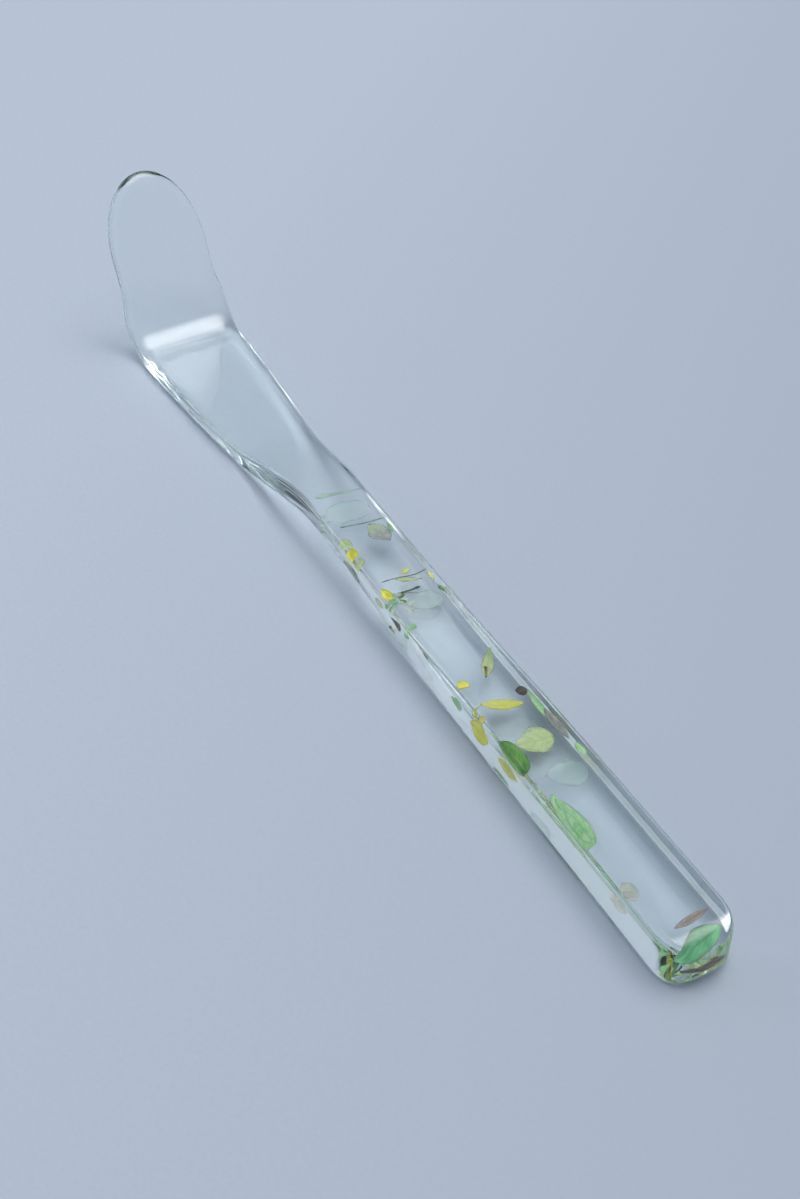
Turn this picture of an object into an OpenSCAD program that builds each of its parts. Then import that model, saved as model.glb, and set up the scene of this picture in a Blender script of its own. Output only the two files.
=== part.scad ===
// Clear cast spatula scoop with pieces of wild plants sealed in its handle.
// The bar-shaped handle lies along X with its rounded butt at -X. It thins into a raised
// neck, comes down to the table, widens, and turns up into a thin tongue-shaped blade at +X.
// The origin is at the middle of the footprint, on the table that the handle lies on.

/* [Handle] */
// Length from the butt to the outer corner of the bend
handle_len = 132; // [120:1:150]
// Width of the handle near the butt
handle_w = 8.6; // [8:0.1:10]
// Thickness of the handle
handle_t = 6.6; // [5.5:0.1:8]
// Radius of the long edges
edge_r = 0.9; // [0.6:0.1:1.5]
// Length over which the butt is rounded in plan
butt_round = 4.6; // [3:0.1:6]
// Length over which the butt is rounded in side view
butt_nose = 2.8; // [2:0.1:4]

/* [Neck] */
// Distance from the butt to where the underside starts to rise
rise_start = 40; // [34:1:44]
// Distance from the butt to the highest place of the neck
neck_x = 80; // [76:1:86]
// Distance from the butt to where the neck is back on the table
rise_end = 101; // [98:1:110]
// Width of the neck
neck_w = 8; // [7:0.1:9]
// Thickness of the neck
neck_t = 3.3; // [2.8:0.1:4]
// Height of the underside of the neck above the table
neck_rise = 3.3; // [2.5:0.1:3.6]

/* [Bend and blade] */
// Distance from the butt to where the sides start to widen
flare_start = 72; // [68:1:80]
// Width of the bend
bend_w = 15.8; // [13:0.1:17]
// Inside radius of the bend
bend_r = 5.5; // [3:0.1:6]
// Angle that the blade makes with the table
blade_angle = 67; // [55:1:75]
// Length of the blade from the outer corner of the bend to its tip
blade_len = 25.5; // [22:0.5:32]
// Thickness of the blade
blade_t = 2.2; // [1.8:0.1:2.6]
// Width of the blade
blade_w = 14.5; // [12:0.1:15]
// Length of the round tip of the blade
tip_len = 11.5; // [8:0.5:13]
// Width over which the edges of the bend and the blade are rounded
rim_w = 2.6; // [1.5:0.1:3]

/* [Plant pieces] */
// Thickness of a leaf
leaf_t = 0.30; // [0.2:0.05:0.4]
// Thickness of a petal
petal_t = 0.24; // [0.15:0.01:0.3]
// Diameter of a thin stem
stem_d = 0.20; // [0.15:0.01:0.3]

/* [Hidden] */

// The bend: the path turns about (bend_x, bend_mid_r) at the middle of the blade's thickness
bend_mid_r = bend_r + blade_t / 2;
bend_x = handle_len - (bend_r + blade_t) * tan(blade_angle / 2);
blade_free = blade_len - (bend_r + blade_t) * tan(blade_angle / 2);
root_x = bend_x + bend_mid_r * sin(blade_angle);
root_z = blade_t / 2 + bend_mid_r * (1 - cos(blade_angle));
overall_len = root_x + (blade_free - rim_w) * cos(blade_angle)
    + norm([rim_w * cos(blade_angle), blade_t / 2 * sin(blade_angle)]);

thin_start = 92;        // the neck thins from here to the thickness of the blade
thin_end = bend_x;
corner_steps = 5;       // facets of each rounded long edge
round_fn = 32;          // facets of a round petal or stem
least = 0.03;           // share of the full section that closes the two ends

function clamp01(u) = min(max(u, 0), 1);
function ease(u) = let (c = clamp01(u)) c * c * (3 - 2 * c);
function blend(a, b, from, to, x) = a + (b - a) * ease((x - from) / (to - from));

// Width, thickness and height of the underside at a distance x from the butt
function plan_w(x) = blend(handle_w, neck_w, butt_round, neck_x, x)
    + (bend_w - neck_w) * ease((x - flare_start) / (bend_x + bend_mid_r - flare_start));
function side_t(x) = blend(handle_t, neck_t, rise_start - 4, neck_x, x)
    + (blade_t - neck_t) * ease((x - thin_start) / (thin_end - thin_start));
function under_z(x) = x < neck_x
    ? blend(0, neck_rise, rise_start, neck_x, x)
    : blend(neck_rise, 0, neck_x, rise_end, x);

// Width over which the long edges are rounded, wider towards the bend
function rounding(x) = edge_r + (rim_w - edge_r) * ease((x - neck_x) / (thin_end - neck_x));

// Share of the full section left at a distance x from an end that is rounded over a length n
function nose(x, n, power) = max(least, pow(max(0, 1 - pow(max(0, 1 - x / n), power)), 1 / power));

// A section is [x, z, angle, half width, half thickness, rounding] of its middle
butt_stations = [for (i = [0:11]) butt_round * (1 - cos(4 + 86 * i / 11))];
bar_stations = [for (x = [butt_round + 3 : 3 : rise_start]) x];
neck_steps = 28;
neck_stations = [for (i = [0:neck_steps])
    let (from = bar_stations[len(bar_stations) - 1] + 1.5)
    from + (bend_x - from) * i / neck_steps];
bend_steps = 8;
blade_steps = 5;
tip_steps = 12;

handle_sections = [for (x = concat(butt_stations, bar_stations, neck_stations))
    let (t = side_t(x))
    [x, under_z(x) + t / 2, 0,
     plan_w(x) / 2 * nose(x, butt_round, 2.2), t / 2 * nose(x, butt_nose, 2), rounding(x)]];

bend_sections = [for (i = [1:bend_steps])
    let (a = blade_angle * i / bend_steps)
    [bend_x + bend_mid_r * sin(a), blade_t / 2 + bend_mid_r * (1 - cos(a)), a,
     plan_w(bend_x + bend_mid_r * sin(a)) / 2, blade_t / 2, rim_w]];

blade_places = concat(
    [for (i = [1:blade_steps]) (blade_free - tip_len) * i / blade_steps],
    [for (i = [1:tip_steps]) blade_free - tip_len + tip_len * sin(89 * i / tip_steps)]);
blade_sections = [for (s = blade_places)
    let (to_tip = blade_free - s,
         w = blend(bend_w, blade_w, 0, (blade_free - tip_len) / 2, s))
    [root_x + s * cos(blade_angle), root_z + s * sin(blade_angle), blade_angle,
     w / 2 * nose(to_tip, tip_len, 2), blade_t / 2 * nose(to_tip, rim_w, 2), rim_w]];

// A rectangle with elliptical corners across the path, as points in space
function section_points(s) =
    let (ry = min(s[5], 0.96 * s[3]), rv = min(edge_r, 0.96 * s[4]))
    [for (q = [0:3], i = [0:corner_steps])
        let (a = 90 * q + 90 * i / corner_steps,
             side = (q == 0 || q == 3) ? 1 : -1,
             face = q < 2 ? 1 : -1,
             y = side * (s[3] - ry) + ry * cos(a),
             v = face * (s[4] - rv) + rv * sin(a))
        [s[0] - v * sin(s[2]), y, s[1] + v * cos(s[2])]];

// A closed skin over a row of sections that all have the same number of points
module loft(sections) {
    rings = [for (s = sections) section_points(s)];
    n = len(rings[0]);
    last = len(rings) - 1;
    points = [for (ring = rings) for (p = ring) p];
    skin = [for (k = [0:last - 1], i = [0:n - 1])
        [k * n + i, (k + 1) * n + i, (k + 1) * n + (i + 1) % n, k * n + (i + 1) % n]];
    ends = [[for (i = [0:n - 1]) i], [for (i = [n - 1:-1:0]) last * n + i]];
    polyhedron(points, concat(skin, ends), convexity = 6);
}

// The whole object is drawn from the butt, and then centred on its footprint
module centred() translate([-overall_len / 2, 0, 0]) children();

// Puts a flat piece in the handle: x from the butt, y across, depth under the top face,
// turned by yaw about Z, and leaning by lean about its own long side
module laid(x, y, depth, yaw = 0, lean = 0)
    centred()
        translate([x, y, under_z(x) + side_t(x) - depth])
            rotate([0, 0, yaw])
                rotate([lean, 0, 0])
                    children();

// Flat pieces lie in XY, long side along X, with their middle at the origin
module oval(l, w, t)
    translate([0, 0, -t / 2])
        linear_extrude(t)
            intersection() {
                // two arcs that meet in a point at each end, with the points cut round
                r = (l * l + w * w) / (4 * w) * 1.02;
                intersection() {
                    translate([0, r - w / 2]) circle(r, $fn = 96);
                    translate([0, w / 2 - r]) circle(r, $fn = 96);
                }
                circle(l / 2 * 0.97, $fn = round_fn);
            }

module disc(d, t) cylinder(d = d, h = t, center = true, $fn = round_fn);

// Half of an oval, with one straight side along X
module half_oval(l, w, t)
    intersection() {
        oval(l, 2 * w, t);
        translate([-l, 0, -t]) cube([2 * l, 2 * w, 2 * t]);
    }

// A wedge-shaped petal with a rounded broad end, pointing along -X
module wedge(l, w, t)
    translate([0, 0, -t / 2])
        linear_extrude(t)
            intersection() {
                polygon([[-l / 2, 0], [l / 2, w / 2], [l / 2, -w / 2]]);
                translate([-l / 2, 0]) circle(l * 0.98, $fn = 2 * round_fn);
            }

// A thin stem that bows sideways by sag over a length of span along X
module stem(span, sag, d) {
    r = (span * span / 4 + sag * sag) / (2 * sag);
    half = asin(span / (2 * r));
    translate([0, sag / 2 - r, 0])
        rotate([0, 0, 90 - half])
            rotate_extrude(angle = 2 * half, $fn = 360)
                translate([r, 0]) circle(d = d, $fn = 24);
}

// The outer shape of the casting
module casting()
    centred() loft(concat(handle_sections, bend_sections, blade_sections));

// The casting has a closed pocket for every plant piece, exactly as large as the piece
module clear_body()
    color([0.86, 0.93, 0.94, 0.35])
        difference() {
            casting();
            plant_pieces();
        }

module plant_pieces() {
    grass_blade();
    pale_petal();
    green_stem();
    round_petal();
    side_petals();
    long_stem();
    stem_petal();
    oval_petal();
    flower_stalk();
    brown_stem();
    misty_leaf();
    edge_petal();
    hanging_petal();
    calyx();
    wedge_petal();
    flower_bud();
    pollen_grains();
    edge_flecks();
    tailed_leaf();
    orange_petal();
    green_chip();
    dark_seed();
    slanted_petal();
    upright_petal();
    edge_leaf();
    bark_strip();
    broad_leaf();
    dark_leaf();
    yellow_strip();
    small_chip();
    wide_pale_leaf();
    half_moon_leaf();
    faint_petal();
    butt_leaf();
    butt_petals();
}

// Across the far end of the plant pieces, narrower towards the right side
module grass_blade()
    color([0.42, 0.58, 0.30])
        laid(80.7, -0.3, 1.0, 77) wedge(6.4, 1.1, leaf_t);

module pale_petal()
    color([0.62, 0.76, 0.70])
        laid(77.3, 0, 1.9, 80) oval(6.2, 4.6, petal_t);

module green_stem()
    color([0.20, 0.42, 0.30])
        laid(73.9, -0.4, 0.85, 81) stem(6.0, 0.3, stem_d);

module round_petal()
    color([0.52, 0.50, 0.20])
        laid(71.5, -1.5, 1.5, 12) oval(4.4, 3.0, petal_t);

// Three small petals one after another along the left edge
module side_petals()
    color([0.70, 0.74, 0.25])
        for (i = [0:2])
            laid(71.6 - 1.9 * i, 2.9, 1.2 + 0.25 * i, 8 - 12 * i, -45)
                oval(2.3 - 0.3 * i, 0.9, petal_t);

module long_stem()
    color([0.20, 0.13, 0.08])
        laid(62.8, -0.2, 0.8, 89) stem(6.4, 0.5, stem_d);

module stem_petal()
    color([0.66, 0.66, 0.12])
        laid(62.0, -0.4, 1.3, 62, 15) oval(3.4, 1.1, petal_t);

module oval_petal()
    color([0.76, 0.70, 0.12])
        laid(63.5, -0.7, 1.1, 100) oval(1.5, 0.8, petal_t);

module flower_stalk()
    color([0.09, 0.15, 0.08])
        laid(60.9, -0.1, 2.5, 94) stem(2.9, 0.2, 2.2 * stem_d);

module brown_stem()
    color([0.34, 0.26, 0.16])
        laid(60.0, 0.8, 1.35, 63) stem(2.6, 0.12, stem_d);

module misty_leaf()
    color([0.50, 0.62, 0.50])
        laid(58.7, -0.6, 3.0, 78) oval(5.2, 3.6, petal_t);

module edge_petal()
    color([0.86, 0.72, 0.12])
        laid(60.9, 3.0, 1.0, 4, -30) oval(2.4, 0.8, petal_t);

// Stands under the edge petal, close to the left side
module hanging_petal()
    color([0.66, 0.70, 0.14])
        laid(61.9, 3.2, 2.5, 14, -76) oval(2.2, 1.3, petal_t);

// Five narrow sepals around one point
module calyx()
    color([0.16, 0.36, 0.10])
        for (i = [0:4])
            laid(60.0, 2.25, 1.9, 72 * i, -12)
                translate([0.68, 0, 0]) oval(1.2, 0.45, petal_t / 2);

module wedge_petal()
    color([0.16, 0.09, 0.05])
        laid(57.6, 3.25, 2.3, 181, 74) wedge(2.7, 1.5, petal_t);

module flower_bud()
    color([0.22, 0.48, 0.16])
        laid(55.2, 2.95, 2.3, 30) disc(1.2, 1.1);

// A few loose grains beside the calyx
module pollen_grains()
    color([0.72, 0.62, 0.12])
        for (i = [0:4])
            laid(58.9 - 0.5 * i, 2.3 - 0.5 * (i % 3), 1.0 + 0.3 * (i % 2)) disc(0.32, 0.3);

// Three small pieces along the right edge
module edge_flecks()
    color([0.48, 0.56, 0.12])
        for (i = [0:2])
            laid([71.4, 61.2, 58.6][i], -3.0, 1.0, 10 * i - 10, 40) oval(2.0 - 0.3 * i, 0.8, petal_t);

module tailed_leaf()
    color([0.42, 0.46, 0.14])
        laid(45.9, -2.0, 1.7, -38) {
            oval(3.8, 1.6, leaf_t);
            translate([-2.3, 0.1, 0]) rotate([0, 0, 12]) stem(1.9, 0.25, 1.5 * stem_d);
        }

module orange_petal()
    color([0.80, 0.62, 0.12])
        laid(43.3, 2.8, 1.2, 20) oval(1.5, 1.1, petal_t);

module green_chip()
    color([0.30, 0.54, 0.16])
        laid(43.2, 3.25, 3.0, 3, -74) oval(2.6, 1.6, leaf_t);

module dark_seed()
    color([0.16, 0.11, 0.08])
        laid(39.2, -2.3, 1.4, 30) oval(1.7, 1.3, 3 * petal_t);

module slanted_petal()
    color([0.84, 0.74, 0.10])
        laid(38.9, 0.4, 2.5, 62, 10) oval(5.2, 2.0, petal_t);

// Stands close to the left side
module upright_petal()
    color([0.88, 0.70, 0.08])
        laid(38.1, 3.2, 3.3, 2, -78) oval(4.0, 3.4, petal_t);

// Stands along the right side
module edge_leaf()
    color([0.24, 0.50, 0.20])
        laid(36.9, -3.1, 2.6, -2, 42) oval(6.0, 1.6, leaf_t);

module bark_strip()
    color([0.36, 0.27, 0.20])
        laid(32.9, -2.8, 1.2, 0, 20) oval(5.4, 1.6, leaf_t);

module broad_leaf()
    color([0.56, 0.64, 0.14])
        laid(32.7, 0.1, 3.0, 78) oval(4.9, 4.2, leaf_t);

module dark_leaf()
    color([0.10, 0.30, 0.08])
        laid(31.4, 3.1, 1.6, 0, -38) oval(5.8, 1.5, leaf_t);

// Stands under the dark leaf, close to the left side
module yellow_strip()
    color([0.84, 0.70, 0.12])
        laid(32.0, 3.4, 3.6, 2, -72) oval(4.4, 1.8, petal_t);

module small_chip()
    color([0.30, 0.52, 0.16])
        laid(28.6, -3.2, 1.6, 2, 10) oval(2.2, 1.0, leaf_t);

module wide_pale_leaf()
    color([0.58, 0.70, 0.58])
        laid(27.4, -0.8, 4.2, 70) oval(5.2, 4.2, petal_t);

module half_moon_leaf()
    color([0.22, 0.50, 0.20])
        laid(21.6, 3.3, 2.5, 181, -20) half_oval(10.2, 2.2, leaf_t);

module faint_petal()
    color([0.62, 0.52, 0.30])
        laid(10.9, 2.6, 3.6, 8, -25) oval(3.2, 2.0, petal_t);

// Spans the butt, leaning with its near edge down
module butt_leaf()
    color([0.18, 0.52, 0.26])
        laid(2.8, 0.1, 2.9, 98, -35) oval(6.2, 1.8, leaf_t);

// Two dry petals on both sides of the leaf in the butt
module butt_petals()
    color([0.42, 0.24, 0.14])
        for (side = [-1, 1])
            laid(3.2 - 1.1 * side, 0.2 * side, 3.0 + 1.5 * side, 94) oval(4.6, 1.0, petal_t);

clear_body();
grass_blade();
pale_petal();
green_stem();
round_petal();
side_petals();
long_stem();
stem_petal();
oval_petal();
flower_stalk();
brown_stem();
misty_leaf();
edge_petal();
hanging_petal();
calyx();
wedge_petal();
flower_bud();
pollen_grains();
edge_flecks();
tailed_leaf();
orange_petal();
green_chip();
dark_seed();
slanted_petal();
upright_petal();
edge_leaf();
bark_strip();
broad_leaf();
dark_leaf();
yellow_strip();
small_chip();
wide_pale_leaf();
half_moon_leaf();
faint_petal();
butt_leaf();
butt_petals();
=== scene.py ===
import math

import bpy
import numpy as np
from mathutils import Matrix, Vector, noise

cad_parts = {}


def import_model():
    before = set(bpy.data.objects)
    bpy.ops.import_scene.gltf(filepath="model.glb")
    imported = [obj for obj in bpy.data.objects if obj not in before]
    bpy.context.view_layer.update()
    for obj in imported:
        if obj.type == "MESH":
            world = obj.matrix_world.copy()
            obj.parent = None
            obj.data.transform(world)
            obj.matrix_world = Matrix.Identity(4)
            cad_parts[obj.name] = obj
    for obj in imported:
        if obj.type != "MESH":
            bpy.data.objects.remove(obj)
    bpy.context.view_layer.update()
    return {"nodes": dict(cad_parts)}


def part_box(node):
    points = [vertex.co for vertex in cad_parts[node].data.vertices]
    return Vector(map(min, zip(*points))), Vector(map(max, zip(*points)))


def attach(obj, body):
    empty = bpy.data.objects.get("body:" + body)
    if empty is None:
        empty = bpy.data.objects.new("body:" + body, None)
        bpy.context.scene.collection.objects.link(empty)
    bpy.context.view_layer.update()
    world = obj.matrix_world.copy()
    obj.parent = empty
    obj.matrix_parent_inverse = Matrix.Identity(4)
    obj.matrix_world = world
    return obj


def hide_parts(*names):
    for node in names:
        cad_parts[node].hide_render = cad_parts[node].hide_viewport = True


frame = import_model()

# Shapes are worked out in millimetres and turned into metres by mesh_object()
MM = 0.001

# ---------------------------------------------------------------- sizes, as in the CAD model
HANDLE_LEN, HANDLE_W, HANDLE_T, EDGE_R = 132, 8.6, 6.6, 0.9
BUTT_ROUND, BUTT_NOSE = 4.6, 2.8
RISE_START, NECK_X, RISE_END = 40, 80, 101
NECK_W, NECK_T, NECK_RISE = 8, 3.3, 3.3
FLARE_START, THIN_START = 72, 92
BEND_W, BEND_R, BLADE_ANGLE = 15.8, 5.5, math.radians(67)
BLADE_LEN, BLADE_T, BLADE_W, TIP_LEN, RIM_W = 25.5, 2.2, 14.5, 11.5, 2.6
THIN_LEAD = 4              # the bar starts to thin this far before its underside starts to rise
PLAN_POWER, SIDE_POWER = 2.2, 2      # how square the ends are, from above and from the side
LEAST = 1e-3               # share of the full section at the very end of a rounded end

BEND_MID_R = BEND_R + BLADE_T / 2
BEND_X = HANDLE_LEN - (BEND_R + BLADE_T) * math.tan(BLADE_ANGLE / 2)
BLADE_FREE = BLADE_LEN - (BEND_R + BLADE_T) * math.tan(BLADE_ANGLE / 2)
ROOT_X = BEND_X + BEND_MID_R * math.sin(BLADE_ANGLE)
ROOT_Z = BLADE_T / 2 + BEND_MID_R * (1 - math.cos(BLADE_ANGLE))
BUTT_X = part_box("clear_body")[0][0] / MM


def ease(u):
    c = min(max(u, 0), 1)
    return c * c * (3 - 2 * c)


def blend(a, b, start, end, x):
    return a + (b - a) * ease((x - start) / (end - start))


def plan_w(x):
    """Width at a distance x from the butt; side_t is the thickness and under_z the underside's height."""
    return (blend(HANDLE_W, NECK_W, BUTT_ROUND, NECK_X, x)
            + (BEND_W - NECK_W) * ease((x - FLARE_START) / (BEND_X + BEND_MID_R - FLARE_START)))


def side_t(x):
    return (blend(HANDLE_T, NECK_T, RISE_START - THIN_LEAD, NECK_X, x)
            + (BLADE_T - NECK_T) * ease((x - THIN_START) / (BEND_X - THIN_START)))


def under_z(x):
    if x < NECK_X:
        return blend(0, NECK_RISE, RISE_START, NECK_X, x)
    return blend(NECK_RISE, 0, NECK_X, RISE_END, x)


def rounding(x):
    """Width over which the long edges are rounded."""
    return EDGE_R + (RIM_W - EDGE_R) * ease((x - NECK_X) / (BEND_X - NECK_X))


def nose(x, length, power):
    """Share of the full section at a distance x from an end that is rounded over a length."""
    u = min(max(1 - x / length, 0), 1)
    return max(LEAST, (1 - u ** power) ** (1 / power))


def at(x, y, depth):
    """A place in the handle: x from the butt, y across, depth under the top face."""
    return np.array([BUTT_X + x, y, under_z(x) + side_t(x) - depth])


# ---------------------------------------------------------------- mesh helpers
def mesh_object(name, points, faces, smooth=True):
    mesh = bpy.data.meshes.new(name)
    mesh.from_pydata([tuple(float(c) * MM for c in p) for p in points], [], faces)
    mesh.validate()
    mesh.update()
    obj = bpy.data.objects.new(name, mesh)
    bpy.context.scene.collection.objects.link(obj)
    for poly in mesh.polygons:
        poly.use_smooth = smooth
    return obj


def loft(name, rings):
    """A closed skin over rings that all have the same number of points."""
    n = len(rings[0])
    points = [p for ring in rings for p in ring]
    faces = []
    for k in range(len(rings) - 1):
        for i in range(n):
            j = (i + 1) % n
            faces.append((k * n + i, k * n + j, (k + 1) * n + j, (k + 1) * n + i))
    for k, first in ((0, True), (len(rings) - 1, False)):
        points.append(np.mean(rings[k], axis=0))
        for i in range(n):
            a, b = k * n + i, k * n + (i + 1) % n
            faces.append((b, a, len(points) - 1) if first else (a, b, len(points) - 1))
    return mesh_object(name, points, faces)


def mark(obj, name, values):
    data = obj.data.attributes.new(name, "FLOAT", "POINT")
    data.data.foreach_set("value", np.asarray(values, np.float32))


def wander(x, seed, scale):
    """Smooth noise between -1 and 1 that is the same each run."""
    return noise.noise(Vector((x / scale, 7.3 * seed, 1.7 * seed)))


# ---------------------------------------------------------------- clear body
FLAT_POINTS, CORNER_POINTS = 10, 10        # points along each flat and round each long edge
BUTT_RINGS, BAR_RINGS, BEND_RINGS, BLADE_RINGS, TIP_RINGS = 30, 200, 19, 14, 46
BUTT_TURN, TIP_TURN = 1.5, 87              # angles, in degrees, at which the butt and the tip are closed
FULLEST = 0.97                             # the most of a half size that a rounded edge takes up
SWELL, SWELL_LENGTH = 0.03, 9              # how unevenly the sides of the bar were polished
TIP_GAP = 0.05       # this tip has more rings than the CAD's, so it is cut back to stay inside its box


def section_ring(x, z, angle, half_w, half_t, rim):
    """A rectangle with elliptical corners across the path, with points along its flats as well."""
    ry, rv = min(rim, FULLEST * half_w), min(EDGE_R, FULLEST * half_t)
    corners = []
    for q, (side, face) in enumerate(((1, 1), (-1, 1), (-1, -1), (1, -1))):
        turns = [math.pi / 2 * (q + i / CORNER_POINTS) for i in range(CORNER_POINTS + 1)]
        corners.append([(side * (half_w - ry) + ry * math.cos(a),
                         face * (half_t - rv) + rv * math.sin(a)) for a in turns])
    ring = []
    for corner, following in zip(corners, corners[1:] + corners[:1]):
        start, end = np.array(corner[-1]), np.array(following[0])
        ring += corner + [start + (end - start) * k / FLAT_POINTS for k in range(1, FLAT_POINTS)]
    return [(BUTT_X + x - v * math.sin(angle), y, z + v * math.cos(angle)) for y, v in ring]


def body_rings():
    """Rings from the butt along the bar and the neck, round the bend and up the blade to its tip."""
    rings = []
    butt = [BUTT_ROUND * (1 - math.cos(math.radians(a))) for a in np.linspace(BUTT_TURN, 90, BUTT_RINGS)]
    for x in butt + list(np.linspace(BUTT_ROUND, BEND_X, BAR_RINGS)[1:]):
        t = side_t(x)
        swell = SWELL * wander(x, 1, SWELL_LENGTH)
        rings.append(section_ring(x, under_z(x) + t / 2, 0,
                                  (plan_w(x) / 2 + swell) * nose(x, BUTT_ROUND, PLAN_POWER),
                                  t / 2 * nose(x, BUTT_NOSE, SIDE_POWER), rounding(x)))
    for a in np.linspace(0, BLADE_ANGLE, BEND_RINGS)[1:]:
        x = BEND_X + BEND_MID_R * math.sin(a)
        rings.append(section_ring(x, BLADE_T / 2 + BEND_MID_R * (1 - math.cos(a)), a,
                                  plan_w(x) / 2, BLADE_T / 2, RIM_W))
    free = BLADE_FREE - TIP_GAP
    straight = free - TIP_LEN
    places = list(np.linspace(0, straight, BLADE_RINGS)[1:])
    places += [straight + TIP_LEN * math.sin(a)
               for a in np.radians(np.linspace(0, TIP_TURN, TIP_RINGS)[1:])]
    for s in places:
        w = blend(BEND_W, BLADE_W, 0, straight / 2, s)
        left = free - s
        rings.append(section_ring(ROOT_X + s * math.cos(BLADE_ANGLE),
                                  ROOT_Z + s * math.sin(BLADE_ANGLE), BLADE_ANGLE,
                                  w / 2 * nose(left, TIP_LEN, SIDE_POWER),
                                  BLADE_T / 2 * nose(left, RIM_W, SIDE_POWER), RIM_W))
    return rings


# ---------------------------------------------------------------- materials
def new_material(name):
    mat = bpy.data.materials.new(name)
    mat.use_nodes = True
    tree = mat.node_tree
    tree.nodes.clear()
    out = tree.nodes.new("ShaderNodeOutputMaterial")
    bsdf = tree.nodes.new("ShaderNodeBsdfPrincipled")
    tree.links.new(bsdf.outputs[0], out.inputs["Surface"])
    return mat, tree, bsdf, out


def node(tree, kind, inputs=(), **settings):
    made = tree.nodes.new(kind)
    for key, value in settings.items():
        setattr(made, key, value)
    for key, value in dict(inputs).items():
        made.inputs[key].default_value = value
    return made


def ramp(tree, value, stops):
    made = node(tree, "ShaderNodeValToRGB")
    while len(made.color_ramp.elements) < len(stops):
        made.color_ramp.elements.new(0.5)
    for element, (position, colour) in zip(made.color_ramp.elements, stops):
        element.position, element.color = position, (*colour, 1)
    tree.links.new(value, made.inputs[0])
    return made.outputs[0]


def mapped(tree, value, low, high, to_low=0.0, to_high=1.0):
    made = node(tree, "ShaderNodeMapRange",
                {"From Min": low, "From Max": high, "To Min": to_low, "To Max": to_high})
    tree.links.new(value, made.inputs["Value"])
    return made.outputs[0]


def maths(tree, operation, *values):
    made = node(tree, "ShaderNodeMath", operation=operation)
    for k, value in enumerate(values):
        if isinstance(value, (int, float)):
            made.inputs[k].default_value = value
        else:
            tree.links.new(value, made.inputs[k])
    return made.outputs[0]


def mix_colour(tree, share, a, b):
    made = node(tree, "ShaderNodeMix", data_type="RGBA")
    for k, value in ((0, share), (6, a), (7, b)):
        if isinstance(value, tuple):
            made.inputs[k].default_value = (*value, 1)
        else:
            tree.links.new(value, made.inputs[k])
    return made.outputs[2]


def noise_at(tree, scale, detail=3.0, roughness=0.6):
    coords = node(tree, "ShaderNodeTexCoord")
    made = node(tree, "ShaderNodeTexNoise", {"Scale": scale, "Detail": detail, "Roughness": roughness})
    tree.links.new(coords.outputs["Object"], made.inputs["Vector"])
    return made.outputs[0]


def bumped(tree, bsdf, height, strength, distance):
    made = node(tree, "ShaderNodeBump", {"Strength": strength, "Distance": distance})
    tree.links.new(height, made.inputs["Height"])
    tree.links.new(made.outputs[0], bsdf.inputs["Normal"])


RESIN_IOR = 1.5
RESIN_SURFACE = (0.975, 0.995, 0.99, 1)
RESIN_DEPTHS, RESIN_DENSITY = (0.60, 0.94, 0.88, 1), 9.0     # a faint teal in the thick places


def resin_material():
    mat, tree, bsdf, out = new_material("clear_resin")
    bsdf.inputs["Base Color"].default_value = RESIN_SURFACE
    bsdf.inputs["Transmission Weight"].default_value = 1
    bsdf.inputs["IOR"].default_value = RESIN_IOR
    bsdf.inputs["Roughness"].default_value = 0.0
    inside = node(tree, "ShaderNodeVolumeAbsorption", {"Color": RESIN_DEPTHS, "Density": RESIN_DENSITY})
    tree.links.new(inside.outputs[0], out.inputs["Volume"])
    waves = noise_at(tree, 160.0, 2.0)
    bumped(tree, bsdf, waves, 0.05, 0.0004)
    return mat


VEIN_SLANT, RIB_WIDTH = -0.35, 0.10        # how far the veins lean, and the half width of the midrib
VEIN_SHADE = 0.45                          # how dark a vein is beside the dark patches


def tissue_material(name, dark, light, edge, veins=7.0, vein_tone=0.45, far=None, alpha=0.85, margin=0.45):
    """Leaf or petal: two tones in patches, veins that follow its "along" and "across" marks, and a dry edge.

    far is the tone that its far end turns to. alpha and margin say how opaque its middle and its edge
    are."""
    mat, tree, bsdf, _ = new_material(name)
    patches = noise_at(tree, 900.0)
    along = node(tree, "ShaderNodeAttribute", attribute_name="along").outputs["Fac"]
    across = node(tree, "ShaderNodeAttribute", attribute_name="across").outputs["Fac"]
    rim = node(tree, "ShaderNodeAttribute", attribute_name="rim").outputs["Fac"]
    tone = ramp(tree, patches, ((0.36, dark), (0.62, light)))
    if far:
        turned = maths(tree, "MULTIPLY", mapped(tree, along, 0.45, 0.75), 0.85)
        tone = mix_colour(tree, turned, tone, far)
    away = maths(tree, "ABSOLUTE", across)
    slant = maths(tree, "MULTIPLY_ADD", away, VEIN_SLANT, along)
    wave = maths(tree, "SINE", maths(tree, "MULTIPLY", slant, veins * 2 * math.pi))
    lines = mapped(tree, wave, 0.80, 1.0)
    rib = mapped(tree, away, RIB_WIDTH, 0.02)
    vein = maths(tree, "MAXIMUM", lines, rib)
    tone = mix_colour(tree, maths(tree, "MULTIPLY", vein, vein_tone), tone,
                      tuple(VEIN_SHADE * c for c in dark))
    dry = maths(tree, "MULTIPLY", mapped(tree, rim, 0.78, 1.0), 0.8)
    tone = mix_colour(tree, dry, tone, edge)
    tree.links.new(tone, bsdf.inputs["Base Color"])
    tree.links.new(mapped(tree, patches, 0.0, 1.0, 0.45, 0.75), bsdf.inputs["Roughness"])
    bumped(tree, bsdf, vein, 0.6, 0.00008)
    tree.links.new(mapped(tree, rim, 0.65, 1.0, alpha, margin), bsdf.inputs["Alpha"])
    return mat


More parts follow.
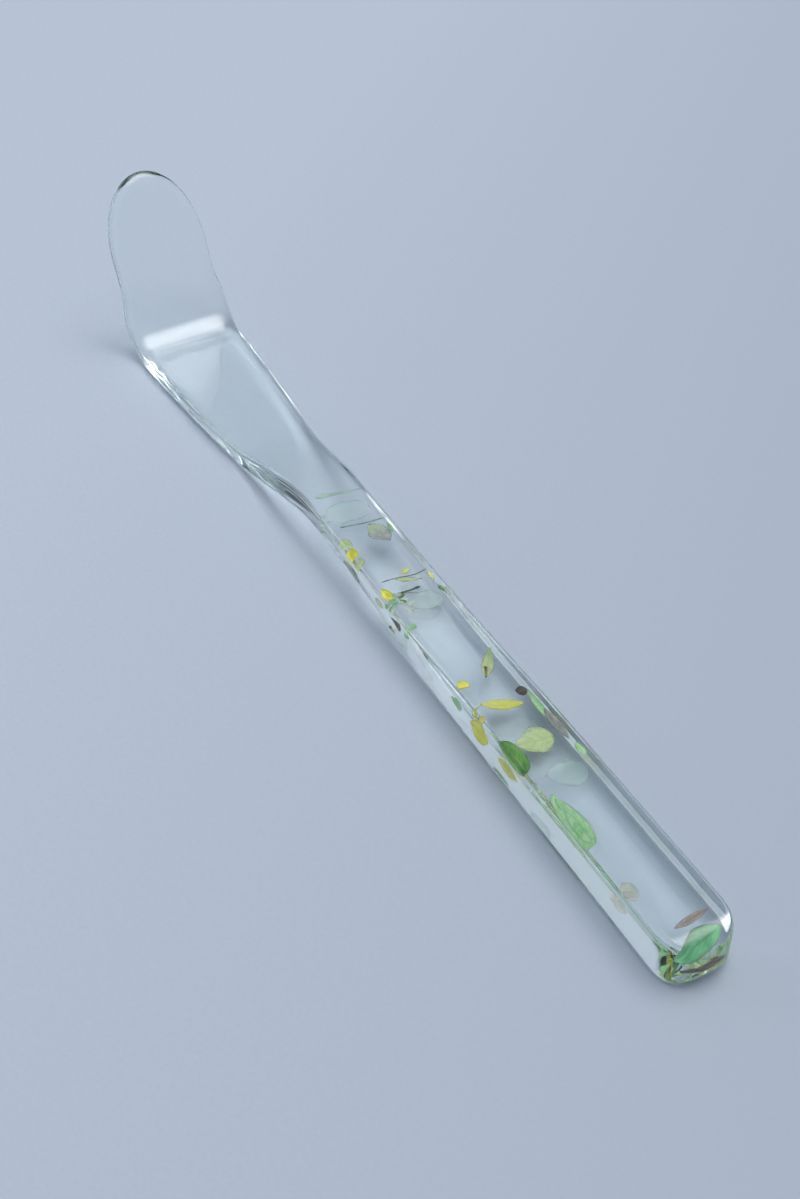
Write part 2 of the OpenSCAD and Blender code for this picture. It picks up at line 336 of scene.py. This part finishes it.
def twig_material(name, dark, light):
    """Dry stem: two tones in fine fibres."""
    mat, tree, bsdf, _ = new_material(name)
    fibres = noise_at(tree, 1400.0, 4.0)
    tree.links.new(ramp(tree, fibres, ((0.4, dark), (0.62, light))), bsdf.inputs["Base Color"])
    bumped(tree, bsdf, fibres, 0.5, 0.00006)
    bsdf.inputs["Roughness"].default_value = 0.6
    return mat


# Each has its dark and its light tone, and the tone of its dry edge
GREEN = tissue_material("green_leaf", (0.30, 0.64, 0.24), (0.52, 0.80, 0.42), (0.38, 0.58, 0.26),
                        alpha=0.75, margin=0.4)
BLUE_GREEN = tissue_material("blue_green_leaf", (0.08, 0.34, 0.14), (0.16, 0.47, 0.22), (0.16, 0.28, 0.12),
                             alpha=0.9, margin=0.55)
DEEP_GREEN = tissue_material("deep_green_leaf", (0.10, 0.32, 0.04), (0.20, 0.48, 0.07), (0.14, 0.28, 0.06),
                             alpha=0.88, margin=0.4)
PALE = tissue_material("pale_leaf", (0.56, 0.78, 0.66), (0.74, 0.90, 0.82), (0.36, 0.60, 0.46),
                       vein_tone=0.4, alpha=0.13, margin=0.28)
GRASS = tissue_material("grass_leaf", (0.40, 0.64, 0.40), (0.60, 0.80, 0.52), (0.30, 0.54, 0.32), veins=0.0,
                        alpha=0.42, margin=0.3)
YELLOW = tissue_material("yellow_petal", (0.84, 0.78, 0.10), (0.94, 0.90, 0.24), (0.72, 0.72, 0.20),
                         veins=0.0, vein_tone=0.2, alpha=0.8, margin=0.35)
GOLD = tissue_material("gold_petal", (0.90, 0.80, 0.03), (0.95, 0.90, 0.08), (0.80, 0.60, 0.06), veins=0.0,
                       vein_tone=0.2, alpha=0.92, margin=0.6)
OLIVE = tissue_material("olive_petal", (0.62, 0.70, 0.26), (0.80, 0.84, 0.40), (0.44, 0.48, 0.22), veins=5.0,
                        vein_tone=0.3, far=(0.44, 0.62, 0.28), alpha=0.62, margin=0.25)
TURNING = tissue_material("turning_petal", (0.46, 0.42, 0.36), (0.62, 0.58, 0.50), (0.36, 0.33, 0.26),
                          veins=5.0, vein_tone=0.3, far=(0.66, 0.78, 0.44), alpha=0.55, margin=0.3)
LIME = tissue_material("lime_leaf", (0.72, 0.84, 0.36), (0.86, 0.92, 0.48), (0.60, 0.72, 0.32), veins=5.0,
                       vein_tone=0.2, alpha=0.64, margin=0.25)
BROWN = tissue_material("brown_petal", (0.06, 0.04, 0.032), (0.15, 0.10, 0.075), (0.10, 0.06, 0.045),
                        veins=4.0, alpha=0.9, margin=0.6)
DUSTY = tissue_material("dusty_brown_petal", (0.24, 0.22, 0.21), (0.42, 0.40, 0.37), (0.20, 0.18, 0.16),
                        veins=4.0, alpha=0.7, margin=0.25)
TAN = tissue_material("tan_petal", (0.64, 0.58, 0.42), (0.78, 0.72, 0.56), (0.58, 0.48, 0.32), veins=4.0,
                      alpha=0.4, margin=0.2)
RUST = tissue_material("rust_petal", (0.38, 0.23, 0.17), (0.54, 0.38, 0.29), (0.32, 0.19, 0.13), veins=4.0,
                       alpha=0.6, margin=0.25)
DARK_TWIG = twig_material("dark_twig", (0.035, 0.022, 0.014), (0.09, 0.055, 0.03))
GREEN_TWIG = twig_material("green_twig", (0.02, 0.06, 0.02), (0.06, 0.16, 0.05))
TEAL_TWIG = twig_material("teal_twig", (0.08, 0.24, 0.16), (0.16, 0.36, 0.24))
BROWN_TWIG = twig_material("brown_twig", (0.10, 0.08, 0.03), (0.22, 0.18, 0.08))


# ---------------------------------------------------------------- plant pieces
def node_points(name):
    """The points of a CAD node, in millimetres."""
    mesh = frame["nodes"][name].data
    points = np.empty(len(mesh.vertices) * 3)
    mesh.vertices.foreach_get("co", points)
    return points.reshape(-1, 3) / MM


def solids_of(name):
    """The points of each separate solid of a CAD node, from -X to +X."""
    mesh = frame["nodes"][name].data
    points = node_points(name)
    group = list(range(len(points)))

    def leader(i):
        while group[i] != i:
            group[i] = group[group[i]]
            i = group[i]
        return i

    seen = {}
    for i, p in enumerate(points):       # points split along sharp edges are one place
        group[i] = leader(seen.setdefault(tuple(np.round(p * 1e3).astype(int)), i))
    for edge in mesh.edges:
        a, b = (leader(i) for i in edge.vertices)
        group[b] = a
    found = {}
    for i, p in enumerate(points):
        found.setdefault(leader(i), []).append(p)
    return sorted((np.array(p) for p in found.values()), key=lambda p: p[:, 0].mean())


def plate(points):
    """Middle, axes (along, across, out of the plate) and sizes of a flat piece."""
    axes = np.linalg.svd(points - points.mean(0), full_matrices=False)[2]
    along, across = axes[0], axes[1]
    if along[0] < 0 or (abs(along[0]) < 0.35 and along[1] < 0):
        along = -along
    up = np.cross(along, across)
    if up[2] < 0:
        across, up = -across, -up
    spans = [points @ a for a in (along, across, up)]
    middle = sum(a * (s.min() + s.max()) / 2 for a, s in zip((along, across, up), spans))
    return middle, (along, across, up), [s.max() - s.min() for s in spans]


# Each outline gives the two sides of a piece, as shares of its half width, at u from 0 to 1 along it
def oval(u):
    w = max(0, math.sin(math.pi * u)) ** 0.75
    return -w, w


def round_outline(u):
    w = math.sqrt(max(0, 1 - (2 * u - 1) ** 2))
    return -w, w


def leaf_outline(u):
    """Broad near its base and pointed at its end, with small teeth."""
    w = max(0, math.sin(math.pi * u ** 0.75)) ** 0.9 * (1 + 0.05 * math.sin(26 * math.pi * u))
    return -w, w


def blade_outline(u):
    """Narrow at one end and broad at the other."""
    w = (0.25 + 0.75 * u ** 1.4) * min(1, 14 * u, 9 * (1 - u)) ** 0.5
    return -w, 0.9 * w


def wedge_outline(u):
    """Broad at the start and pointed at the end."""
    w = min(1, 1.2 * (1 - u)) * min(1, 7 * u) ** 0.5
    return -w, w


def half_moon(u):
    """One straight side, and a dome that is highest before its middle."""
    dome = max(0, math.sin(math.pi * u ** 0.62)) ** 1.15
    return 1 - 2 * (0.28 * max(0, math.sin(math.pi * u)) ** 0.5 + 0.72 * dome), 1


def crescent(u):
    """A slim curved petal that is broadest near its far end."""
    w = max(0, math.sin(math.pi * u ** 1.5)) ** 0.8
    return -0.2 - w, 0.9 * w - 0.2


LENGTH_CELLS, WIDTH_CELLS = 40, 16
TISSUE_T = 0.13                            # thickness of a leaf or petal
LENGTH_SHARE, WIDTH_SHARE = 0.97, 0.95     # of the CAD piece, so that a curled one stays in its place
NARROWEST = 0.04                           # a piece stays this wide, in half widths, at its pointed ends


def tissue(name, points, outline, material, seed, curl=0.05, cup=0.08, ruffle=0.08, ragged=0.10):
    """A thin closed leaf or petal in the place of a flat piece: curled, cupped, ruffled and ragged."""
    middle, (along, across, up), (length, width, _) = plate(points)
    nu, nv, thick = LENGTH_CELLS, WIDTH_CELLS, TISSUE_T
    top, marks = [], []
    for i in range(nu + 1):
        u = i / nu
        low, high = (side * (1 + ragged * wander(u, seed + k, 0.15))
                     for k, side in enumerate(outline(u), 3))
        if high - low < NARROWEST:
            low, high = (low + high) / 2 - NARROWEST / 2, (low + high) / 2 + NARROWEST / 2
        for j in range(nv + 1):
            v = 2 * j / nv - 1
            y = (low + (high - low) * j / nv) * width / 2
            z = (curl * length * ((2 * u - 1) ** 2 - 0.4) + cup * width * (v * v - 0.4)
                 + ruffle * width * noise.noise(Vector((u * 3.1 + seed, v * 1.9, seed * 2.7))))
            top.append(middle + along * (u - 0.5) * length * LENGTH_SHARE + across * y * WIDTH_SHARE
                       + up * (z + thick / 2))
            marks.append((u, v, max(abs(v), abs(2 * u - 1) ** 3)))
    top, count = np.array(top), (nu + 1) * (nv + 1)
    low = top - up * thick
    faces = []
    for i in range(nu):
        for j in range(nv):
            a, b = i * (nv + 1) + j, (i + 1) * (nv + 1) + j
            faces.append((a, b, b + 1, a + 1))
            faces.append((count + a + 1, count + b + 1, count + b, count + a))
    border = ([i * (nv + 1) for i in range(nu + 1)] + [nu * (nv + 1) + j for j in range(1, nv + 1)]
              + [i * (nv + 1) + nv for i in range(nu - 1, -1, -1)] + list(range(nv - 1, 0, -1)))
    for a, b in zip(border, border[1:] + border[:1]):
        faces.append((b, a, count + a, count + b))
    piece = mesh_object(name, np.concatenate([top, low]), faces)
    for k, title in enumerate(("along", "across", "rim")):
        mark(piece, title, [m[k] for m in marks] * 2)
    piece.data.materials.append(material)
    return piece


STRAND_POINTS = 12                         # points round a stem, and along it between two knots


def smooth_path(knots, steps=STRAND_POINTS):
    """A smooth curve through a few points."""
    p = [2 * knots[0] - knots[1], *knots, 2 * knots[-1] - knots[-2]]
    path = []
    for k in range(1, len(p) - 2):
        for t in np.arange(steps) / steps:
            path.append(0.5 * (2 * p[k] + (p[k + 1] - p[k - 1]) * t
                               + (2 * p[k - 1] - 5 * p[k] + 4 * p[k + 1] - p[k + 2]) * t ** 2
                               + (3 * p[k] - p[k - 1] - 3 * p[k + 1] + p[k + 2]) * t ** 3))
    return np.array(path + [knots[-1]])


def strand(name, knots, radius, material, seed, knobs=()):
    """A thin stem through knots of (x from the butt, y, depth), with small kinks and thicker knobs."""
    path = smooth_path([at(*k) for k in knots])
    last = len(path) - 1
    rings = []
    for i, p in enumerate(path):
        u = i / last
        ahead = path[min(i + 1, last)] - path[max(i - 1, 0)]
        ahead /= np.linalg.norm(ahead)
        out = np.cross(ahead, (0, 0, 1))
        out /= np.linalg.norm(out)
        over = np.cross(out, ahead)
        r = radius * (1 + 0.2 * wander(u, seed + 9, 0.07)) * max(0.1, min(1, 14 * u, 14 * (1 - u)) ** 0.5)
        r *= 1 + sum(size * math.exp(-((u - where) / 0.06) ** 2) for where, size in knobs)
        shift = 0.25 * radius * (wander(u, seed, 0.08) * out + wander(u, seed + 5, 0.11) * over)
        rings.append([p + shift + r * (math.cos(a) * out + math.sin(a) * over)
                      for a in np.linspace(0, 2 * math.pi, STRAND_POINTS, endpoint=False)])
    piece = loft(name, rings)
    piece.data.materials.append(material)
    return piece


def pebble(name, points, material, seed):
    """A small lumpy grain in the place of a flat disc."""
    middle = (points.min(0) + points.max(0)) / 2
    half = (points.max(0) - points.min(0)) / 2
    rings = []
    for a in np.radians(np.linspace(176, 4, 15)):
        ring = []
        for b in np.linspace(0, 2 * math.pi, 20, endpoint=False):
            d = np.array([math.sin(a) * math.cos(b), math.sin(a) * math.sin(b), math.cos(a)])
            lump = 0.92 + 0.16 * noise.noise(Vector(d * 1.6) + Vector((seed * 3.1, 0, 0)))
            ring.append(middle + d * half * lump)
        rings.append(ring)
    piece = loft(name, rings)
    mark(piece, "along", [0.3] * len(piece.data.vertices))
    mark(piece, "across", [0.5] * len(piece.data.vertices))
    mark(piece, "rim", [0.2] * len(piece.data.vertices))
    piece.data.materials.append(material)
    return piece


def joined(name, pieces):
    with bpy.context.temp_override(active_object=pieces[0], selected_editable_objects=pieces,
                                   selected_objects=pieces, object=pieces[0]):
        bpy.ops.object.join()
    pieces[0].name = name
    return pieces[0]


def place(piece, node_name):
    """Puts a piece on the root body, in the place of its CAD node."""
    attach(piece, "root")
    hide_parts(node_name)


LEAF_TAIL = ((44.9, -0.95, 1.68), (44.3, -0.7, 1.7), (43.8, -0.4, 1.75), (43.3, -0.05, 1.85))
LEAF_TAIL_R = 0.14


def single_pieces():
    rows = (
        # node, outline, material, slot, curl, cup, ruffle
        ("grass_blade", blade_outline, GRASS, "leaf", 0.00, 0.05, 0.05),
        ("pale_petal", round_outline, PALE, "pale_leaf", 0.02, 0.04, 0.05),
        ("round_petal", oval, TURNING, "olive_petal", 0.04, 0.08, 0.10),
        ("stem_petal", crescent, LIME, "yellow_petal", 0.04, 0.10, 0.10),
        ("oval_petal", oval, YELLOW, "yellow_petal", 0.05, 0.10, 0.08),
        ("misty_leaf", leaf_outline, PALE, "pale_leaf", 0.02, 0.05, 0.05),
        ("edge_petal", oval, GOLD, "yellow_petal", 0.05, 0.10, 0.10),
        ("hanging_petal", oval, LIME, "yellow_petal", 0.05, 0.10, 0.10),
        ("wedge_petal", wedge_outline, BROWN, "bark", 0.05, 0.08, 0.10),
        ("tailed_leaf", leaf_outline, OLIVE, "olive_petal", 0.05, 0.10, 0.10),
        ("orange_petal", oval, GOLD, "yellow_petal", 0.06, 0.10, 0.10),
        ("green_chip", leaf_outline, GREEN, "leaf", 0.05, 0.08, 0.10),
        ("slanted_petal", oval, YELLOW, "yellow_petal", 0.05, 0.12, 0.10),
        ("upright_petal", oval, GOLD, "yellow_petal", 0.03, 0.06, 0.06),
        ("edge_leaf", leaf_outline, GREEN, "leaf", 0.02, 0.04, 0.04),
        ("bark_strip", oval, DUSTY, "bark", 0.03, 0.08, 0.14),
        ("broad_leaf", leaf_outline, LIME, "olive_petal", 0.04, 0.06, 0.08),
        ("dark_leaf", leaf_outline, DEEP_GREEN, "leaf", 0.03, 0.08, 0.08),
        ("yellow_strip", oval, YELLOW, "yellow_petal", 0.03, 0.06, 0.10),
        ("small_chip", oval, GREEN, "leaf", 0.04, 0.10, 0.12),
        ("wide_pale_leaf", leaf_outline, PALE, "pale_leaf", 0.03, 0.05, 0.06),
        ("half_moon_leaf", half_moon, GREEN, "leaf", 0.02, 0.06, 0.06),
        ("faint_petal", oval, TAN, "olive_petal", 0.04, 0.08, 0.08),
        ("butt_leaf", oval, BLUE_GREEN, "leaf", 0.03, 0.08, 0.06),
    )
    for seed, (name, outline, material, slot, curl, cup, ruffle) in enumerate(rows):
        points = max(solids_of(name), key=len)
        piece = tissue(name + "_tissue", points, outline, material, seed, curl, cup, ruffle)
        if name == "tailed_leaf":
            tail = strand("leaf_tail", LEAF_TAIL, LEAF_TAIL_R, BROWN_TWIG, 4)
            piece = joined(piece.name, [piece, tail])
        place(piece, name)


GROUP_SEED = 31            # above the seeds of the single pieces


def grouped_pieces():
    rows = (
        # node, outline, materials in turn, slot
        ("side_petals", oval, (LIME, GOLD, LIME), "yellow_petal"),
        ("calyx", leaf_outline, (GREEN, DEEP_GREEN), "leaf"),
        ("edge_flecks", oval, (DEEP_GREEN, YELLOW, GREEN), "yellow_petal"),
        # The first butt petal is near-black BROWN: partly its own colour, partly painted shade for the dark
        # shadow at the butt end
        ("butt_petals", oval, (BROWN, RUST), "bark"),
    )
    for name, outline, materials, slot in rows:
        pieces = [tissue(f"{name}_{i}", points, outline, materials[i % len(materials)], GROUP_SEED + i)
                  for i, points in enumerate(solids_of(name))]
        place(joined(name + "_tissue", pieces), name)
    pieces = [pebble(f"grain_{i}", points, GOLD, i)
              for i, points in enumerate(solids_of("pollen_grains"))]
    place(joined("pollen_grains_tissue", pieces), "pollen_grains")
    place(pebble("flower_bud_tissue", node_points("flower_bud"), GREEN, 2), "flower_bud")
    place(pebble("dark_seed_tissue", node_points("dark_seed"), DARK_TWIG, 5), "dark_seed")


def stems():
    rows = (
        # node, knots of (x, y, depth), radius, material, knobs of (where, size)
        ("green_stem", ((74.5, 2.5, 0.9), (74.1, 1.0, 0.85), (73.7, -0.7, 0.85), (73.5, -2.1, 0.85),
                        (73.4, -3.3, 0.9)), 0.09, TEAL_TWIG, ((0.03, 1.0),)),
        ("long_stem", ((63.0, 2.9, 0.8), (62.9, 1.9, 0.75), (62.75, 0.8, 0.8), (62.3, -0.9, 0.8),
                       (62.25, -2.0, 0.8), (62.5, -3.3, 0.85)), 0.06, DARK_TWIG, ((0.16, 0.5),)),
        ("flower_stalk", ((61.0, 1.3, 2.5), (60.95, 0.6, 2.45), (60.85, -0.1, 2.45), (60.9, -0.8, 2.5),
                          (60.9, -1.4, 2.55)), 0.14, GREEN_TWIG, ((0.04, 0.9), (0.80, 0.8))),
        ("brown_stem", ((60.7, 2.0, 1.35), (60.3, 1.2, 1.3), (59.9, 0.5, 1.35), (59.4, -0.4, 1.4)), 0.06,
         BROWN_TWIG, ()),
    )
    for seed, (name, knots, radius, material, knobs) in enumerate(rows):
        place(strand(name + "_tissue", knots, radius, material, seed, knobs), name)


body = loft("clear_casting", body_rings())
body.data.materials.append(resin_material())
place(body, "clear_body")
single_pieces()
grouped_pieces()
stems()


# ---------------------------------------------------------------- floor, light and camera
# The floor is a plain card with a fine grain, with painted shade that makes it a little darker towards the
# near right
FLOOR_HALF, FLOOR_GAP = 3000, 0.02         # the gap keeps the floor off the underside
CARD_DARK, CARD_LIGHT = (0.348, 0.386, 0.444), (0.378, 0.416, 0.474)
CARD_SHADED = (0.281, 0.314, 0.365)
SHADE_TOWARDS = (-0.76, -0.65, 0)
SHADE_FROM, SHADE_TO = -0.06, 0.09         # metres from the origin


def floor():
    half = FLOOR_HALF
    plane = mesh_object("floor", [(-half, -half, 0), (half, -half, 0), (half, half, 0), (-half, half, 0)],
                        [(0, 1, 2, 3)], smooth=False)
    plane.location.z = -FLOOR_GAP * MM
    mat, tree, bsdf, _ = new_material("pale_floor")
    grain = noise_at(tree, 1700.0, 3.0, 0.7)
    card = ramp(tree, grain, ((0.3, CARD_DARK), (0.7, CARD_LIGHT)))
    coords = node(tree, "ShaderNodeTexCoord")
    along = node(tree, "ShaderNodeVectorMath", {1: SHADE_TOWARDS}, operation="DOT_PRODUCT")
    tree.links.new(coords.outputs["Object"], along.inputs[0])
    # painted shade: the card turns to CARD_SHADED towards the near right
    shade = mapped(tree, along.outputs["Value"], SHADE_FROM, SHADE_TO)
    tree.links.new(mix_colour(tree, shade, card, CARD_SHADED), bsdf.inputs["Base Color"])
    bsdf.inputs["Roughness"].default_value = 0.7
    plane.data.materials.append(mat)


# The camera looks along the handle from behind the butt, from high on its left
VIEW_YAW, VIEW_PITCH, VIEW_ROLL = math.radians(-27.48), math.radians(-43.0), math.radians(-2.1)
EYE = Vector((BUTT_X - 70.1, 69.6, 141.9)) * MM
LENS, SENSOR = 50, 36
CLIP_START, CLIP_END = 0.005, 20


def camera():
    data = bpy.data.cameras.new("camera")
    data.lens, data.sensor_fit, data.sensor_height, data.sensor_width = LENS, "VERTICAL", SENSOR, SENSOR
    data.clip_start, data.clip_end = CLIP_START, CLIP_END
    cam = bpy.data.objects.new("camera", data)
    bpy.context.scene.collection.objects.link(cam)
    ahead = Vector((math.cos(VIEW_PITCH) * math.cos(VIEW_YAW),
                    math.cos(VIEW_PITCH) * math.sin(VIEW_YAW), math.sin(VIEW_PITCH)))
    turn = ahead.to_track_quat("-Z", "Y").to_matrix() @ Matrix.Rotation(VIEW_ROLL, 3, "Z")
    cam.matrix_world = Matrix.Translation(EYE) @ turn.to_4x4()
    bpy.context.scene.camera = cam


# The light: a wide soft glow high on the right and a small one low at the far left, in a pale room that
# is darker towards the horizon. Each glow has a heading and an elevation, the angles from its middle at
# which it starts and is full, and a strength. All angles are in degrees, from +X.
KEY = (-110, 78, 32, 6, 5.1)
BACK = (42, 20, 14, 4, 1.5)
ROOM = ((0.0, (0.22, 0.25, 0.30)), (0.30, (0.34, 0.39, 0.46)),
        (0.65, (0.50, 0.57, 0.66)), (1.0, (0.60, 0.67, 0.77)))


def glow(tree, direction, heading, elevation, edge, core, strength):
    """A soft round glow in the sky, as a value for each direction."""
    heading, elevation, edge, core = (math.radians(a) for a in (heading, elevation, edge, core))
    towards = node(tree, "ShaderNodeVectorMath", {1: (math.cos(elevation) * math.cos(heading),
                                                      math.cos(elevation) * math.sin(heading),
                                                      math.sin(elevation))}, operation="DOT_PRODUCT")
    tree.links.new(direction, towards.inputs[0])
    made = node(tree, "ShaderNodeMapRange", {"From Min": math.cos(edge), "From Max": math.cos(core),
                                             "To Max": strength}, interpolation_type="SMOOTHSTEP")
    tree.links.new(towards.outputs["Value"], made.inputs["Value"])
    return made.outputs[0]


def world():
    scene = bpy.context.scene
    scene.world = bpy.data.worlds.new("studio")
    scene.world.use_nodes = True
    tree = scene.world.node_tree
    coords = node(tree, "ShaderNodeTexCoord")
    split = node(tree, "ShaderNodeSeparateXYZ")
    tree.links.new(coords.outputs["Generated"], split.inputs[0])
    room = ramp(tree, split.outputs["Z"], ROOM)
    glows = maths(tree, "ADD", glow(tree, coords.outputs["Generated"], *KEY),
                  glow(tree, coords.outputs["Generated"], *BACK))
    total = node(tree, "ShaderNodeMix", {0: 1.0}, data_type="RGBA", blend_type="ADD")
    tree.links.new(room, total.inputs[6])
    tree.links.new(glows, total.inputs[7])
    tree.links.new(total.outputs[2], tree.nodes["Background"].inputs[0])
    scene.view_settings.view_transform = "Standard"
    # Blurred paths would lose the light that reaches the floor through the resin
    scene.cycles.blur_glossy = 0.0
    scene.cycles.max_bounces = 24
    scene.cycles.transmission_bounces = 20
    scene.cycles.glossy_bounces = 12
    scene.cycles.transparent_max_bounces = 16


floor()
camera()
world()
